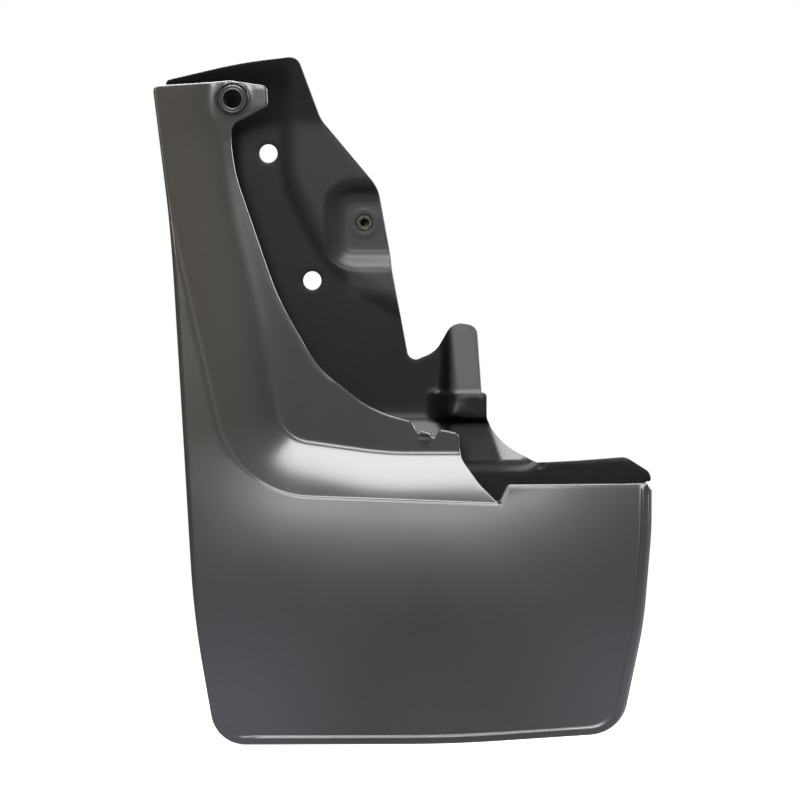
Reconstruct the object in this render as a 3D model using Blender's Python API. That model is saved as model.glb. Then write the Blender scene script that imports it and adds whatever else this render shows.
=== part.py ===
"""Moulded mud flap for the left wheel arch of a pickup or off-road car.

A glossy outer fascia stands in front of a black mounting plate. The corner of the
vehicle's body goes between the two, and the fascia's lip meets the paint. Screws and
washers on the wheel side hold the plate in the fascia.

Frame, in metres: +X inboard, +Y towards the wheel, +Z up. The origin lies on the plate's
body-side face, halfway between its two liner holes. Lengths below are in millimetres.
"""

import math

import bmesh
import bpy
import numpy as np
from mathutils import Vector
from mathutils.geometry import delaunay_2d_cdt

MM = 0.001

# Depths along Y, from the plate's liner face at 0. Smaller is nearer the road behind.
CREST_Y = -48.0  # the fascia's panel where it meets the flare
SHOULDER_Y = -28.0  # the inner edge of the flare's ramp
SEAT_Y = -32.0  # the flat seat of the upper bush
LOWER_PLATE_Y = -30.0  # the plate where it backs the flap's panel

FASCIA_WALL = 2.4
PLATE_WALL = 3.0
EDGE_ROUND = 1.4  # rounding of the fascia's free edges
RIM_ROUND = 3.0  # rounding of its outer silhouette
CREASE_STEP = 0.8  # how far the panel stands proud of the flare
CROWN = 5.0  # bulge of the panel
CROWN_HEIGHT = 145.0
PANEL_TURN = (80.0, 6.0)  # inboard of this x the panel falls away, by this much at its edge
LIP_LEAN = 0.08  # how much the lip band leans outwards, per millimetre
SHOULDER_ROUND = 5.0
RAMP_SWELL = 0.35  # how much steeper the flare's ramp is halfway than at its two edges
FIT_GAP = 0.8  # between the plate's edge and the fascia's wall
TOUCH_GAP = 0.3  # between parts that rest on each other

# Fixings: (x, z) and radius.
LINER_HOLES = ((-13.0, 37.5), (13.0, -37.5))
LINER_HOLE_R = 5.5
BUSH_AT = (-30.6, 68.7)
BUSH_SEAT_R = 9.6
BUSH_BARREL_R = 6.9
BUSH_BORE_R = 5.4
POCKET_NUT_AT = (43.4, -3.5)
POCKET_HOLE_R = 5.0
SCREWS_AT = (
    (-62.0, 34.0),
    (-40.0, -182.0),
    (-20.0, -286.0),
    (84.0, -288.0),
    (184.0, -280.0),
    (192.0, -184.0),
)
SCREW_HOLE_R = 2.6
POST_R = 4.6
PILOT_R = 2.3
PILOT_DEPTH = 16.0

# Outlines, as corners (x, z, radius) in the X-Z plane, anticlockwise from the front.
# The outer silhouette, where the fascia has a side wall.
WALLED_EDGE = (
    (-76.0, 72.0, 0.0),
    (-65.6, -9.0, 800.0),
    (-51.4, -235.0, 600.0),
    (-38.9, -310.0, 20.0),
    (100.0, -309.2, 900.0),
    (197.8, -302.6, 22.0),
    (211.0, -239.0, 250.0),
    (215.7, -184.0, 250.0),
    (215.7, -160.6, 0.0),
)
# The rest of the fascia's edge: panel top, notch, cut end, clip notch, lip, ear and top.
FREE_EDGE = (
    (215.7, -156.6, 3.2),
    (132.2, -157.6, 3.2),
    (127.0, -168.2, 1.8),
    (115.5, -156.9, 40.0),
    (103.2, -141.0, 18.0),
    (102.4, -127.4, 3.2),
    (91.5, -125.0, 3.0),
    (88.2, -129.8, 1.4),
    (77.6, -126.2, 1.4),
    (74.5, -120.4, 3.0),
    (50.6, -113.6, 67.0),
    (18.9, -88.2, 62.0),
    (-4.6, -46.9, 160.0),
    (-31.6, 31.4, 104.0),
    (-31.6, 53.4, 7.0),
    (-9.6, 64.6, 3.2),
    (-10.4, 76.4, 3.2),
    (-23.5, 78.4, 12.0),
    (-32.0, 79.6, 12.0),
    (-76.5, 76.2, 3.2),
)
# The plate's edge that shows beyond the fascia, from the flap's inboard top upwards.
PLATE_EDGE = (
    (212.2, -157.2, 0.0),
    (212.3, -155.7, 0.6),
    (215.2, -155.5, 1.1),
    (215.2, -150.6, 6.0),
    (200.4, -141.2, 9.0),
    (170.0, -143.5, 120.0),
    (144.5, -144.8, 14.0),
    (126.5, -135.2, 40.0),
    (117.4, -121.6, 16.0),
    (117.4, -104.0, 2.2),
    (114.2, -103.6, 1.2),
    (110.4, -64.4, 6.5),
    (96.4, -61.8, 9.0),
    (86.2, -79.4, 16.0),
    (70.4, -85.9, 5.0),
    (60.2, -31.0, 90.0),
    (51.2, 18.2, 18.0),
    (18.2, 57.5, 20.0),
    (5.0, 94.8, 7.0),
    (-28.0, 91.1, 300.0),
    (-73.3, 80.8, 3.2),
    (-73.3, 77.0, 0.0),
)
# Lines that shape the fascia, from its top down and then inboard.
CREASE = ((-87.8, 95.0, 0.0), (-27.7, -163.2, 57.0), (127.5, -168.9, 0.0), (131.5, -130.0, 0.0))
CROWN_LINE = (
    (-87.8, 95.0, 0.0),
    (-27.7, -163.2, 57.0),
    (112.0, -168.6, 110.0),
    (165.0, -154.0, 120.0),
    (245.0, -152.0, 0.0),
)
SHOULDER = (
    (-41.0, 100.0, 0.0),
    (-37.0, 15.0, 200.0),
    (-2.0, -131.0, 22.0),
    (60.0, -140.0, 220.0),
    (140.0, -139.6, 0.0),
)
# The inboard edge of the flat strip that lies on the wheel arch's flange.
FLANGE_LINE = (
    (-2.0, 110.0, 0.0),
    (-1.0, 22.0, 60.0),
    (24.0, -29.0, 90.0),
    (75.0, -60.0, 0.0),
    (150.0, -50.0, 0.0),
)
# The fold where the channel's flank turns into the inboard end wall.
FLANK_LINE = ((109.0, -104.0, 0.0), (117.0, -122.0, 30.0), (126.5, -149.0, 0.0))

FLANGE_STEP = 1.4  # how far the plate stands forward, inboard of the flange strip
FLANGE_BLEND = 6.0  # half the width over which it does
POCKET_FLOOR_Y = 6.0
POCKET = (32.0, -20.0, 90.0, 9.9)  # low x, low z, high x, high z of its floor
POCKET_SLOPE = 12.0  # width of its sloping sides
POCKET_CORNER = 5.0
TOP_FOLD = (57.0, 0.22)  # the height above which the plate leans outwards, and its lean
LEDGE = (-119.0, -104.2)  # bottom and top of the ledge over the channel
LEDGE_FADE = (80.0, 108.0)  # between these x it rises from the plate
LEDGE_Y = -14.0
RAMP_Z = (-119.0, -157.0)  # between these heights the plate comes forward
NOTCH = (86.0, 98.0)  # between these x the ramp gives way to the channel and its shelf
CHANNEL_Y = -8.0
FLANK_SLOPE = 1.3  # the end wall falls back by this much per millimetre
FLANK_RISE = 18.0  # and by this much in all
SHELF_Z = -145.5  # front edge of the shelf that closes the channel below
SHELF_DROP = 4.0
SHELF_TURN = (142.0, 0.6)  # inboard of this x the shelf runs up, at this slope
FINGER_Z = (-64.0, -104.0)  # top and bottom of the finger
FINGER_LEFT = (91.5, 88.5)  # x of its left side there
FINGER_FLANK = (2.5, 11.0)  # width of its left flank there
FINGER_RISE = 12.0


# --- Plane geometry -----------------------------------------------------------------


def rounded(corners, step, turn=22.0):
    """Points along a path with a rounded corner at each (x, z, radius)."""
    points = []
    for i, (x, z, radius) in enumerate(corners):
        here = np.array((x, z))
        if i in (0, len(corners) - 1):
            points.append(here)
            continue
        before = np.array(corners[i - 1][:2]) - here
        after = np.array(corners[i + 1][:2]) - here
        before /= np.linalg.norm(before)
        after /= np.linalg.norm(after)
        opening = math.acos(np.clip(before @ after, -1.0, 1.0))
        turned = math.pi - opening
        if radius == 0.0 or turned < 1e-4:
            points.append(here)
            continue
        centre = here + (before + after) / np.linalg.norm(before + after) * radius / math.sin(opening / 2)
        start = here + before * radius / math.tan(opening / 2) - centre
        side = math.copysign(1.0, before[1] * after[0] - before[0] * after[1])
        pieces = max(2, math.ceil(radius * turned / step), math.ceil(math.degrees(turned) / turn))
        for k in range(pieces + 1):
            angle = side * turned * k / pieces
            c, s = math.cos(angle), math.sin(angle)
            points.append(centre + np.array((c * start[0] - s * start[1], s * start[0] + c * start[1])))
    return subdivided(points, step)


def subdivided(points, step):
    """The path with every straight stretch cut into pieces no longer than step."""
    found = []
    for start, end in zip(points, points[1:]):
        pieces = max(1, math.ceil(np.linalg.norm(end - start) / step - 1e-6))
        found += [start + (end - start) * k / pieces for k in range(pieces)]
    return np.array([*found, points[-1]])


def mitres(points, closed=True):
    """The vector at each point of a path that moves it one unit to its left."""
    forward = np.roll(points, -1, axis=0) - points
    if not closed:
        forward[-1] = forward[-2]
    forward /= np.linalg.norm(forward, axis=1)[:, None]
    backward = np.roll(forward, 1, axis=0)
    if not closed:
        backward[0] = forward[0]
    left = np.column_stack((-forward[:, 1], forward[:, 0]))
    left_before = np.column_stack((-backward[:, 1], backward[:, 0]))
    middle = left + left_before
    middle /= np.linalg.norm(middle, axis=1)[:, None]
    return middle / np.maximum((middle * left).sum(axis=1), 0.6)[:, None]


def from_line(points, line):
    """Distance of each point from a path, positive on its right."""
    points = np.atleast_2d(points)
    start, along = line[:-1], np.diff(line, axis=0)
    offset = points[:, None, :] - start
    share = np.clip((offset * along).sum(axis=2) / (along**2).sum(axis=1), 0.0, 1.0)
    apart = offset - share[..., None] * along
    distance = np.linalg.norm(apart, axis=2)
    nearest = distance.argmin(axis=1)
    row = np.arange(len(points))
    across = along[nearest, 0] * offset[row, nearest, 1] - along[nearest, 1] * offset[row, nearest, 0]
    return np.where(across > 0, -1.0, 1.0) * distance[row, nearest]


def inside(points, loop):
    """Which of the points lie inside a closed loop."""
    x, z = points[:, :1], points[:, 1:]
    x0, z0 = loop[:, 0], loop[:, 1]
    x1, z1 = np.roll(x0, -1), np.roll(z0, -1)
    spans = (z0 > z) != (z1 > z)
    rise = np.where(z1 == z0, 1.0, z1 - z0)
    crosses = x < x0 + (z - z0) / rise * (x1 - x0)
    return (spans & crosses).sum(axis=1) % 2 == 1


def circle(centre, radius, count):
    angles = np.arange(count) * 2 * math.pi / count
    return np.array(centre) + radius * np.column_stack((np.cos(angles), np.sin(angles)))


def eased(low, high, value):
    """0 below low and 1 above high, with a smooth change between them."""
    share = np.clip((value - low) / (high - low), 0.0, 1.0)
    return share * share * (3.0 - 2.0 * share)


def positive(value, softness):
    """The value where it is positive and 0 elsewhere, with a soft corner."""
    return (value + np.sqrt(value**2 + softness**2)) / 2.0


def far_from(points, others, distance):
    """The points that are at least distance from all the others."""
    if not len(others) or not len(points):
        return points
    apart = np.linalg.norm(points[:, None, :] - others[None, :, :], axis=2)
    return points[apart.min(axis=1) >= distance]


# --- The two moulded surfaces ---------------------------------------------------------

CREASE_PATH = rounded(CREASE, 4.0, 6.0)
CROWN_PATH = rounded(CROWN_LINE, 4.0, 6.0)
SHOULDER_PATH = rounded(SHOULDER, 4.0, 6.0)
FLANGE_PATH = rounded(FLANGE_LINE, 4.0, 6.0)
FLANK_PATH = rounded(FLANK_LINE, 4.0, 6.0)


def fascia_face(points):
    """Depth of the fascia's outer face at each (x, z)."""
    past_crease = from_line(points, CREASE_PATH)
    past_shoulder = positive(from_line(points, SHOULDER_PATH), SHOULDER_ROUND)
    share = past_shoulder / (past_shoulder + np.maximum(-past_crease, 0.0) + 1e-6)
    rise = share - RAMP_SWELL * np.sin(2 * math.pi * share) / (2 * math.pi)
    ramp = SHOULDER_Y + (CREST_Y + CREASE_STEP - SHOULDER_Y) * rise
    lip = positive(-from_line(points, SHOULDER_PATH), SHOULDER_ROUND)
    flare = ramp - LIP_LEAN * lip
    down = np.clip(positive(from_line(points, CROWN_PATH), 8.0) / CROWN_HEIGHT, 0.0, 1.0)
    beyond = positive(points[:, 0] - PANEL_TURN[0], 20.0) / (WALLED_EDGE[-1][0] - PANEL_TURN[0])
    panel = CREST_Y - CROWN * 4.0 * down * (1.0 - down) + PANEL_TURN[1] * beyond**2
    y = flare + (panel - flare) * eased(-CREASE_STEP / 2, CREASE_STEP / 2, past_crease)
    from_bush = np.linalg.norm(points - np.array(BUSH_AT), axis=1)
    y += (SEAT_Y - y) * (1.0 - eased(BUSH_SEAT_R + 1.0, BUSH_SEAT_R + 7.0, from_bush))
    in_ear = eased(BUSH_AT[0] + 8.0, BUSH_AT[0] + 14.0, points[:, 0]) * (points[:, 1] > 50.0)
    return y + (SEAT_Y - y) * in_ear


def box_share(points, box, corner, slope):
    """1 inside a rounded box in the X-Z plane, falling to 0 over the slope's width."""
    low, high = np.array(box[:2]), np.array(box[2:])
    middle, half = (low + high) / 2, (high - low) / 2 - corner
    out = np.maximum(np.abs(points - middle) - half, 0.0)
    return 1.0 - eased(0.0, slope, np.linalg.norm(out, axis=1) - corner)


def plate_level(z):
    """Depth of the plate's front face by height alone."""
    down = RAMP_Z[0] - z
    length = RAMP_Z[0] - RAMP_Z[1]
    return LOWER_PLATE_Y * (positive(down, 2.0) - positive(down - length, 2.0)) / length


def shelf_edge(x):
    """Height of the front edge of the shelf over the panel, which turns up at its inboard end."""
    return SHELF_Z + SHELF_TURN[1] * positive(x - SHELF_TURN[0], 2.0)


def plate_face(points):
    """Depth of the plate's front face at each (x, z)."""
    x, z = points[:, 0], points[:, 1]
    y = plate_level(z)
    flank = positive(-from_line(points, FLANK_PATH), 1.0)
    channel = CHANNEL_Y + np.minimum(FLANK_SLOPE * flank, FLANK_RISE)
    channel = channel * (1.0 - eased(LEDGE[0] + 1.0, LEDGE[1] - 2.0, z))
    edge = shelf_edge(x)
    channel = channel + (LOWER_PLATE_Y - channel) * (1.0 - eased(edge - SHELF_DROP, edge, z))
    y = y + (channel - y) * eased(*NOTCH, x)
    above_ramp = eased(-100.0, -84.0, z)
    y = y - FLANGE_STEP * eased(-FLANGE_BLEND, FLANGE_BLEND, -from_line(points, FLANGE_PATH)) * above_ramp
    y = y + (POCKET_FLOOR_Y - y) * box_share(points, POCKET, POCKET_CORNER, POCKET_SLOPE)
    y = y - TOP_FOLD[1] * positive(z - TOP_FOLD[0], 3.0)
    down = np.clip((FINGER_Z[0] - z) / (FINGER_Z[0] - FINGER_Z[1]), 0.0, 1.0)
    left = FINGER_LEFT[0] + (FINGER_LEFT[1] - FINGER_LEFT[0]) * down
    across = (x - left) / (FINGER_FLANK[0] + (FINGER_FLANK[1] - FINGER_FLANK[0]) * down)
    y = y - FINGER_RISE * down * eased(0.0, 1.0, across) * (z > LEDGE[0])
    on_ledge = eased(LEDGE[0] - 2.0, LEDGE[0], z) * (1.0 - eased(LEDGE[1], LEDGE[1] + 1.5, z))
    return y + (LEDGE_Y - y) * on_ledge * eased(*LEDGE_FADE, x)


# --- Solids -----------------------------------------------------------------------------


def triangles(loops, inner):
    """Triangles in the first loop and outside the others, through the inner points."""
    points = np.vstack([*loops, inner])
    edges, start = [], 0
    for loop in loops:
        edges += [(start + i, start + (i + 1) % len(loop)) for i in range(len(loop))]
        start += len(loop)
    made, _, faces, sources, _, _ = delaunay_2d_cdt([Vector(p) for p in points], edges, [], 1, 1e-6)
    source = [s[0] for s in sources]
    faces = np.array([[source[v] for v in f] for f in faces])
    assert len(made) == len(points), "two loops or points meet"
    in_hole = np.zeros(len(faces), dtype=bool)
    for loop in loops[1:]:
        in_hole |= inside(points[faces].mean(axis=1), loop)
    return faces[~in_hole]


def shell(name, rims, face, back, inner, bosses=()):
    """A closed moulding. Each rim is a list of (x, z, y) loops from the front face to the
    back face, round the outline first and then round each hole. A boss is a list of loops
    that leads off the back face and is capped. inner holds the faces' free points."""
    vertices, faces, edges = [], [], []

    def walled(loops):
        """Adds the loops with the faces between them, and returns each loop's indices."""
        rows = []
        for loop in loops:
            rows.append(list(range(len(vertices), len(vertices) + len(loop))))
            vertices.extend((x, y, z) for x, z, y in loop)
        for a, b in zip(rows, rows[1:]):
            for i in range(len(a)):
                j = (i + 1) % len(a)
                faces.append((a[i], b[i], b[j], a[j]))
        return rows

    def covered(loops, rows, points, depth):
        """Fills a face inside the first loop and outside the others."""
        index = [v for row in rows for v in row]
        index += range(len(vertices), len(vertices) + len(points))
        vertices.extend((x, y, z) for (x, z), y in zip(points, depth(points)))
        flat = [loop[:, :2] for loop in loops]
        faces.extend(tuple(index[v] for v in t) for t in triangles(flat, points))

    for rim in rims:
        edges.append(walled(rim))
    covered([rim[0] for rim in rims], [rows[0] for rows in edges], inner, face)
    raised = [walled(boss) for boss in bosses]
    faces += [tuple(rows[-1]) for rows in raised]
    behind = inner
    for boss in bosses:
        behind = far_from(behind[~inside(behind, boss[0][:, :2])], boss[0][:, :2], 2.0)
    loops = [rim[-1] for rim in rims] + [boss[0] for boss in bosses]
    covered(loops, [rows[-1] for rows in edges] + [rows[0] for rows in raised], behind, back)
    return finished(name, vertices, faces)


def finished(name, vertices, faces):
    """A mesh object in metres with its faces pointing out."""
    mesh = bpy.data.meshes.new(name)
    mesh.from_pydata([tuple(MM * c for c in v) for v in vertices], [], [tuple(f) for f in faces])
    bm = bmesh.new()
    bm.from_mesh(mesh)
    bmesh.ops.recalc_face_normals(bm, faces=bm.faces[:])
    if bm.calc_volume(signed=True) < 0:
        bmesh.ops.reverse_faces(bm, faces=bm.faces[:])
    bm.to_mesh(mesh)
    bm.free()
    mesh.shade_smooth()
    mesh.set_sharp_from_angle(angle=math.radians(35.0))
    obj = bpy.data.objects.new(name, mesh)
    bpy.context.scene.collection.objects.link(obj)
    return obj


def ring_of(loop, mitre, inset, y):
    """The loop moved inwards by inset, at depth y, a number, an array or a surface."""
    moved = loop + mitre * np.reshape(inset, (-1, 1))
    depth = y(moved) if callable(y) else y
    return np.column_stack((moved, np.broadcast_to(depth, len(moved))))


def free_points(outline, holes, features, spacing):
    """Points for the inside of a surface: its features first, then an even lattice."""
    edges = np.vstack([outline, *holes])
    found = np.empty((0, 2))
    low, high = outline.min(axis=0), outline.max(axis=0)
    xs, zs = np.arange(low[0], high[0], spacing), np.arange(low[1], high[1], spacing * 0.87)
    lattice = np.array([(x + spacing / 2 * (k % 2), z) for k, z in enumerate(zs) for x in xs])
    for points, clearance in (*features, (lattice, spacing * 0.6)):
        points = points[inside(points, outline)]
        for hole in holes:
            points = points[~inside(points, hole)]
        points = far_from(points, edges, clearance)
        found = np.vstack((found, far_from(points, found, clearance)))
    return found


def spun(name, profile, at, sides=20):
    """A solid of revolution about Y: profile is (radius, y) points round a closed section,
    and at is the (x, z) of its axis."""
    vertices, faces = [], []
    for k in range(sides):
        c, s = math.cos(2 * math.pi * k / sides), math.sin(2 * math.pi * k / sides)
        vertices += [(at[0] + r * c, y, at[1] + r * s) for r, y in profile]
    count = len(profile)
    for k in range(sides):
        for i in range(count):
            a, b = k * count, (k + 1) % sides * count
            j = (i + 1) % count
            faces.append((a + i, a + j, b + j, b + i))
    return finished(name, vertices, faces)


def turned(name, profile, at, sides=20):
    """A solid of revolution about Y that closes on its axis: profile starts and ends there."""
    (_, top), *middle, (_, bottom) = profile
    vertices = [(at[0], top, at[1]), (at[0], bottom, at[1])]
    for k in range(sides):
        c, s = math.cos(2 * math.pi * k / sides), math.sin(2 * math.pi * k / sides)
        vertices += [(at[0] + r * c, y, at[1] + r * s) for r, y in middle]
    count, faces = len(middle), []
    for k in range(sides):
        a, b = 2 + k * count, 2 + (k + 1) % sides * count
        faces.append((0, a, b))
        faces += [(a + i, a + i + 1, b + i + 1, b + i) for i in range(count - 1)]
        faces.append((1, b + count - 1, a + count - 1))
    return finished(name, vertices, faces)


def swept(name, path, across, section):
    """A bar along a path of (x, y, z): section is (sideways, along Y) points, and across
    holds the sideways unit vector (x, z) at each point of the path."""
    vertices, faces = [], []
    count = len(section)
    for (x, y, z), (ax, az) in zip(path, across):
        vertices += [(x + u * ax, y + v, z + u * az) for u, v in section]
    for k in range(len(path) - 1):
        for i in range(count):
            a, b, j = k * count, (k + 1) * count, (i + 1) % count
            faces.append((a + i, a + j, b + j, b + i))
    faces.append(tuple(range(count)))
    faces.append(tuple(range((len(path) - 1) * count, len(path) * count)))
    return finished(name, vertices, faces)


# --- Materials ----------------------------------------------------------------------------


def material(name, colour, roughness, metallic=0.0):
    made = bpy.data.materials.new(name)
    made.use_nodes = True
    shader = made.node_tree.nodes["Principled BSDF"]
    shader.inputs["Base Color"].default_value = (*colour, 1.0)
    shader.inputs["Roughness"].default_value = roughness
    shader.inputs["Metallic"].default_value = metallic
    return made


# --- Parts ----------------------------------------------------------------------------------


def outer_fascia(finish):
    """The glossy outer moulding, with its side wall and the posts that take the screws."""
    walled = rounded(WALLED_EDGE, 12.0)
    free = rounded(((215.7, -160.6, 0.0), *FREE_EDGE, (-76.0, 72.0, 0.0)), 8.0)[1:-1]
    outline = np.vstack((walled, free))
    wall = np.arange(len(outline)) < len(walled)
    mitre = mitres(outline)
    edge = fascia_face(outline)
    rim = np.where(wall, plate_level(outline[:, 1]) + PLATE_WALL, edge + FASCIA_WALL)
    soft = np.where(wall, RIM_ROUND, EDGE_ROUND)

    def back(points):
        return fascia_face(points) + FASCIA_WALL

    rings = [
        ring_of(outline, mitre, soft, fascia_face),
        ring_of(outline, mitre, 0.3 * soft, edge + 0.3 * soft),
        ring_of(outline, mitre, 0.0, np.minimum(edge + soft, rim - 0.4)),
        ring_of(outline, mitre, 0.0, rim),
        ring_of(outline, mitre, FASCIA_WALL, rim),
        ring_of(outline, mitre, FASCIA_WALL + 0.2, back),
    ]
    hole = circle(BUSH_AT, BUSH_BARREL_R, 20)[::-1]
    bore = [ring_of(hole, 0 * hole, 0.0, y) for y in (fascia_face, back)]
    features = (
        (circle(BUSH_AT, BUSH_SEAT_R + 1.0, 16), 2.0),
        (circle(BUSH_AT, BUSH_SEAT_R + 5.0, 14), 2.0),
        (rounded(CREASE[:3], 9.0), 4.0),
        (rounded(SHOULDER, 9.0), 4.0),
    )
    inner = free_points(outline + mitre * 3.2, [hole], features, 14.0)
    posts = []
    for at in SCREWS_AT:
        foot, pilot = circle(at, POST_R, 12)[::-1], circle(at, PILOT_R, 12)[::-1]
        top = float(plate_face(np.array([at]))[0]) - TOUCH_GAP
        bottom = max(top - PILOT_DEPTH, float(back(np.array([at]))[0]) + 1.0)
        levels = ((foot, back), (foot, top), (pilot, top), (pilot, bottom))
        posts.append([ring_of(loop, 0 * loop, 0.0, y) for loop, y in levels])
    fascia = shell("outer_fascia", [rings, bore], fascia_face, back, inner, posts)
    fascia.data.materials.append(finish)
    return fascia


def plate_outline(step):
    """The plate's edge: the stretch that shows, then a line just inside the fascia's wall."""
    walled = rounded(WALLED_EDGE, step)
    hidden = walled + mitres(walled, closed=False) * (FASCIA_WALL + FIT_GAP)
    shown = rounded(PLATE_EDGE, step)
    return np.vstack((hidden[:-1], shown))


def mounting_plate(finish):
    """The black inner moulding that lies on the wheel arch and backs the flap."""
    outline = plate_outline(9.0)
    mitre = mitres(outline)

    def back(points):
        return plate_face(points) + PLATE_WALL

    rings = [
        ring_of(outline, mitre, 0.5, plate_face),
        ring_of(outline, mitre, 0.0, plate_face(outline) + 0.6),
        ring_of(outline, mitre, 0.0, plate_face(outline) + PLATE_WALL - 0.6),
        ring_of(outline, mitre, 0.5, back),
    ]
    holes = [circle(at, LINER_HOLE_R, 20)[::-1] for at in LINER_HOLES]
    holes.append(circle(POCKET_NUT_AT, POCKET_HOLE_R, 20)[::-1])
    holes += [circle(at, SCREW_HOLE_R, 12)[::-1] for at in SCREWS_AT]
    hole_rings = [[ring_of(h, 0 * h, 0.0, y) for y in (plate_face, back)] for h in holes]
    low_x, low_z, high_x, high_z = POCKET
    pocket = [
        rounded(
            (
                (high_x, low_z - d, 0.0),
                (low_x - d, low_z - d, POCKET_CORNER + d),
                (low_x - d, high_z + d, POCKET_CORNER + d),
                (high_x, high_z + d, 0.0),
            ),
            5.0,
        )
        for d in (-1.0, POCKET_SLOPE / 2, POCKET_SLOPE)
    ]
    along = np.arange(NOTCH[0], PLATE_EDGE[6][0], 6.0)
    shelf = [np.column_stack((along, shelf_edge(along) - d)) for d in (0.0, SHELF_DROP)]
    along = np.arange(LEDGE_FADE[0], PLATE_EDGE[9][0], 6.0)
    heights = (LEDGE[0] - 2.0, *LEDGE, LEDGE[1] + 1.5)
    ledge = [np.column_stack((along, np.full(len(along), z))) for z in heights]
    top, bottom = np.array((FINGER_LEFT[0], FINGER_Z[0])), np.array((FINGER_LEFT[1], FINGER_Z[1]))
    finger = [
        subdivided([top + (FINGER_FLANK[0] * share, 0.0), bottom + (FINGER_FLANK[1] * share, 0.0)], 8.0)
        for share in (0.0, 1.0)
    ]
    flange = rounded(FLANGE_LINE, 7.0)
    across = mitres(flange, closed=False)
    features = (
        *((p, 1.2) for p in (*shelf, *ledge)),
        *((p, 2.5) for p in pocket),
        (flange + across * FLANGE_BLEND, 2.0),
        (flange - across * FLANGE_BLEND, 2.0),
        (rounded(FLANK_LINE, 5.0), 2.0),
        *((p, 2.0) for p in finger),
    )
    inner = free_points(outline + mitre * 0.5, holes, features, 13.0)
    plate = shell("mounting_plate", [rings, *hole_rings], plate_face, back, inner)
    plate.data.materials.append(finish)
    return plate


def upper_bush(finish):
    """The flanged sleeve in the fascia's upper hole, which takes the fixing's clamp load."""
    front = SEAT_Y - 1.9
    seat = SEAT_Y - TOUCH_GAP
    foot = SEAT_Y + 12.0
    barrel = BUSH_BARREL_R - TOUCH_GAP
    profile = (
        (BUSH_BORE_R, front),
        (BUSH_SEAT_R - 1.9, front),
        (BUSH_SEAT_R - 1.2, front + 0.7),
        (BUSH_SEAT_R - 1.2, seat),
        (barrel, seat),
        (barrel, foot),
        (BUSH_BORE_R, foot),
    )
    bush = spun("upper_bush", profile, BUSH_AT)
    bush.data.materials.append(finish)


def pocket_nut(finish):
    """The closed-end threaded insert in the pocket's hole, put in from the wheel side."""
    front = POCKET_FLOOR_Y + 0.3
    back = POCKET_FLOOR_Y + PLATE_WALL + TOUCH_GAP
    outer = POCKET_HOLE_R - TOUCH_GAP
    profile = (
        (0, back + 6.6),
        (2.1, back + 6.6),
        (2.1, front + 0.5),
        (2.7, front),
        (outer, front),
        (outer, back),
        (7.6, back),
        (7.6, back + 1.2),
        (outer + 0.2, back + 1.2),
        (outer - 0.3, back + 8.0),
        (0, back + 8.0),
    )
    nut = turned("pocket_nut", profile, POCKET_NUT_AT, 16)
    nut.data.materials.append(finish)


def plate_screws(steel, washer_steel):
    """The self-tapping screws that hold the plate in the fascia, each on a washer."""
    for number, (x, z) in enumerate(SCREWS_AT, 1):
        seat = float(plate_face(np.array([(x, z)]))[0]) + PLATE_WALL
        ring = ((2.4, seat + 0.3), (7.0, seat + 0.3), (7.0, seat + 1.5), (2.4, seat + 1.5))
        washer = spun(f"plate_washer_{number}", ring, (x, z), 14)
        washer.data.materials.append(washer_steel)
        head = seat + 1.5 + TOUCH_GAP
        profile = (
            (0, head + 1.4),
            (1.6, head + 1.4),
            (2.3, head + 3.2),
            (4.6, head + 0.9),
            (4.6, head),
            (2.0, head),
            (2.0, seat - 11.0),
            (0, seat - 13.5),
        )
        screw = turned(f"plate_screw_{number}", profile, (x, z), 12)
        screw.data.materials.append(steel)


def lip_seal(finish):
    """The rubber bead behind the fascia's lip, which keeps it off the paint."""
    lip = rounded(FREE_EDGE[9:15], 9.0)
    across = mitres(lip, closed=False)
    on_lip = (lip[:, 0] < 66.0) & (lip[:, 1] < 42.0)
    path, across = (lip + across * 6.0)[on_lip], across[on_lip]
    depth = fascia_face(path) + FASCIA_WALL + TOUCH_GAP + 0.3
    section = ((-2.6, 0.0), (2.6, 0.0), (2.6, 1.2), (1.4, 3.6), (-1.4, 3.6), (-2.6, 1.2))
    points = [(x, y, z) for (x, z), y in zip(path, depth)]
    seal = swept("lip_seal", points, across, section)
    seal.data.materials.append(finish)


def lip_clip(finish):
    """The folded spring clip in the lip's notch. It grips the fascia's edge and hooks
    behind the body's flange."""
    left, right = np.array((78.9, -126.65)), np.array((86.6, -129.25))
    along = (right - left) / np.linalg.norm(right - left)
    up = np.array((-along[1], along[0]))
    middle = (left + right) / 2
    y = float(fascia_face(middle[None, :] - up * 3.0)[0])
    front, back = y - TOUCH_GAP, y + FASCIA_WALL + TOUCH_GAP + 0.3
    centre = ((-4.5, front - 0.4), (1.1, front - 0.4), (1.5, y + 1.2), (1.1, back + 0.4), (-3.5, back + 0.4))
    hook = (*centre, (-6.5, back + 2.4), (-4.0, back + 6.0), (2.0, back + 9.0))
    line = np.array(hook)
    side = mitres(line, closed=False) * 0.35
    section = np.vstack((line + side, (line - side)[::-1]))
    ends = [middle - along * 3.2, middle + along * 3.2]
    clip = swept("lip_clip", [(p[0], 0.0, p[1]) for p in ends], [up, up], section)
    clip.data.materials.append(finish)


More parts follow.
